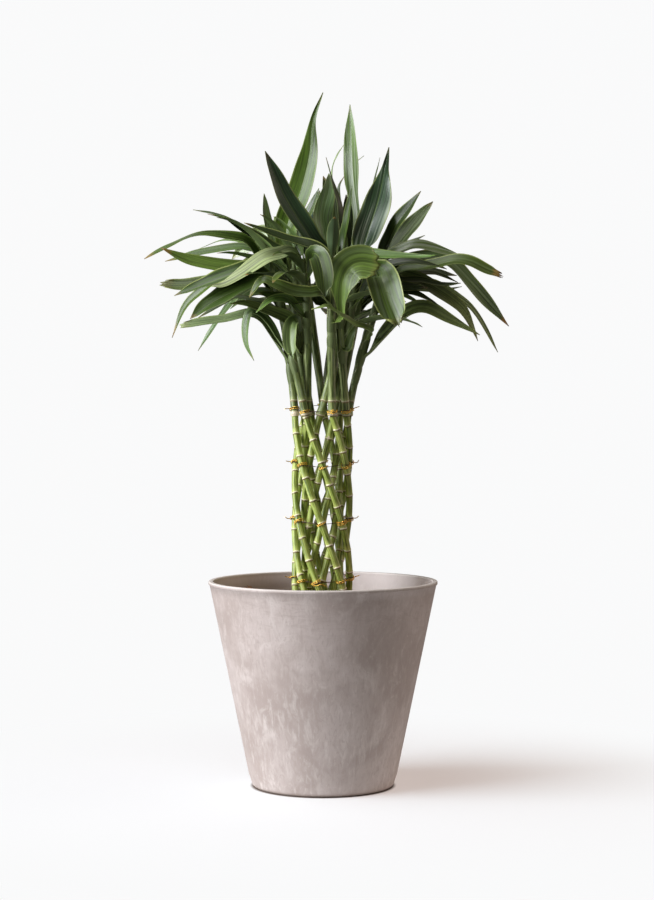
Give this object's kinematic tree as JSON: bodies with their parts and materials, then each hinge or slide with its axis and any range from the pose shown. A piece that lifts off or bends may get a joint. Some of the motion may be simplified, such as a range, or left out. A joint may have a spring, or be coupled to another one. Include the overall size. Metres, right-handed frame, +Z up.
{
  "type": "potted dracaena",
  "caption": "Potted dracaena trained as a round lattice tower of crossing canes with a leafy crown, tied with gold wire, in a tapered stone-look planter.",
  "frame": {"origin": "centre of the pot's flat underside, on the surface that it stands on", "axes": "+Z up along the pot's axis; -Y is the front that the picture shows; +X is to the right of the front"},
  "size_m": [0.4494, 0.349, 0.8499],
  "materials": {
    "pot": "matte mottled warm grey stone look with pale streaks",
    "soil": "damp crumbly potting mix",
    "mulch": "loose orange-brown coir fibre",
    "cane": "smooth waxy green bark with pale node rings",
    "leaf": "semi-gloss living leaf with fine lengthwise veins",
    "wire": "bright gold-coloured twist wire"
  },
  "bodies": {
    "root": {"pot": "pot", "potting_soil": "soil", "coir_mulch": "mulch", "cane_01": "cane", "cane_02": "cane", "cane_03": "cane", "cane_04": "cane", "cane_05": "cane", "cane_06": "cane", "cane_07": "cane", "cane_08": "cane", "cane_09": "cane", "cane_10": "cane", "cane_11": "cane", "cane_12": "cane", "cane_13": "cane", "cane_14": "cane", "cane_15": "cane", "cane_16": "cane", "leafy_shoot_01": "leaf", "leafy_shoot_02": "leaf", "leafy_shoot_03": "leaf", "leafy_shoot_04": "leaf", "leafy_shoot_05": "leaf", "leafy_shoot_06": "leaf", "leafy_shoot_07": "leaf", "leafy_shoot_08": "leaf", "leafy_shoot_09": "leaf", "leafy_shoot_10": "leaf", "leafy_shoot_11": "leaf", "leafy_shoot_12": "leaf", "leafy_shoot_13": "leaf", "leafy_shoot_14": "leaf", "leafy_shoot_15": "leaf", "leafy_shoot_16": "leaf", "wire_tie_1": "wire", "wire_tie_2": "wire", "wire_tie_3": "wire", "wire_tie_4": "wire"}
  },
  "joints": []
}
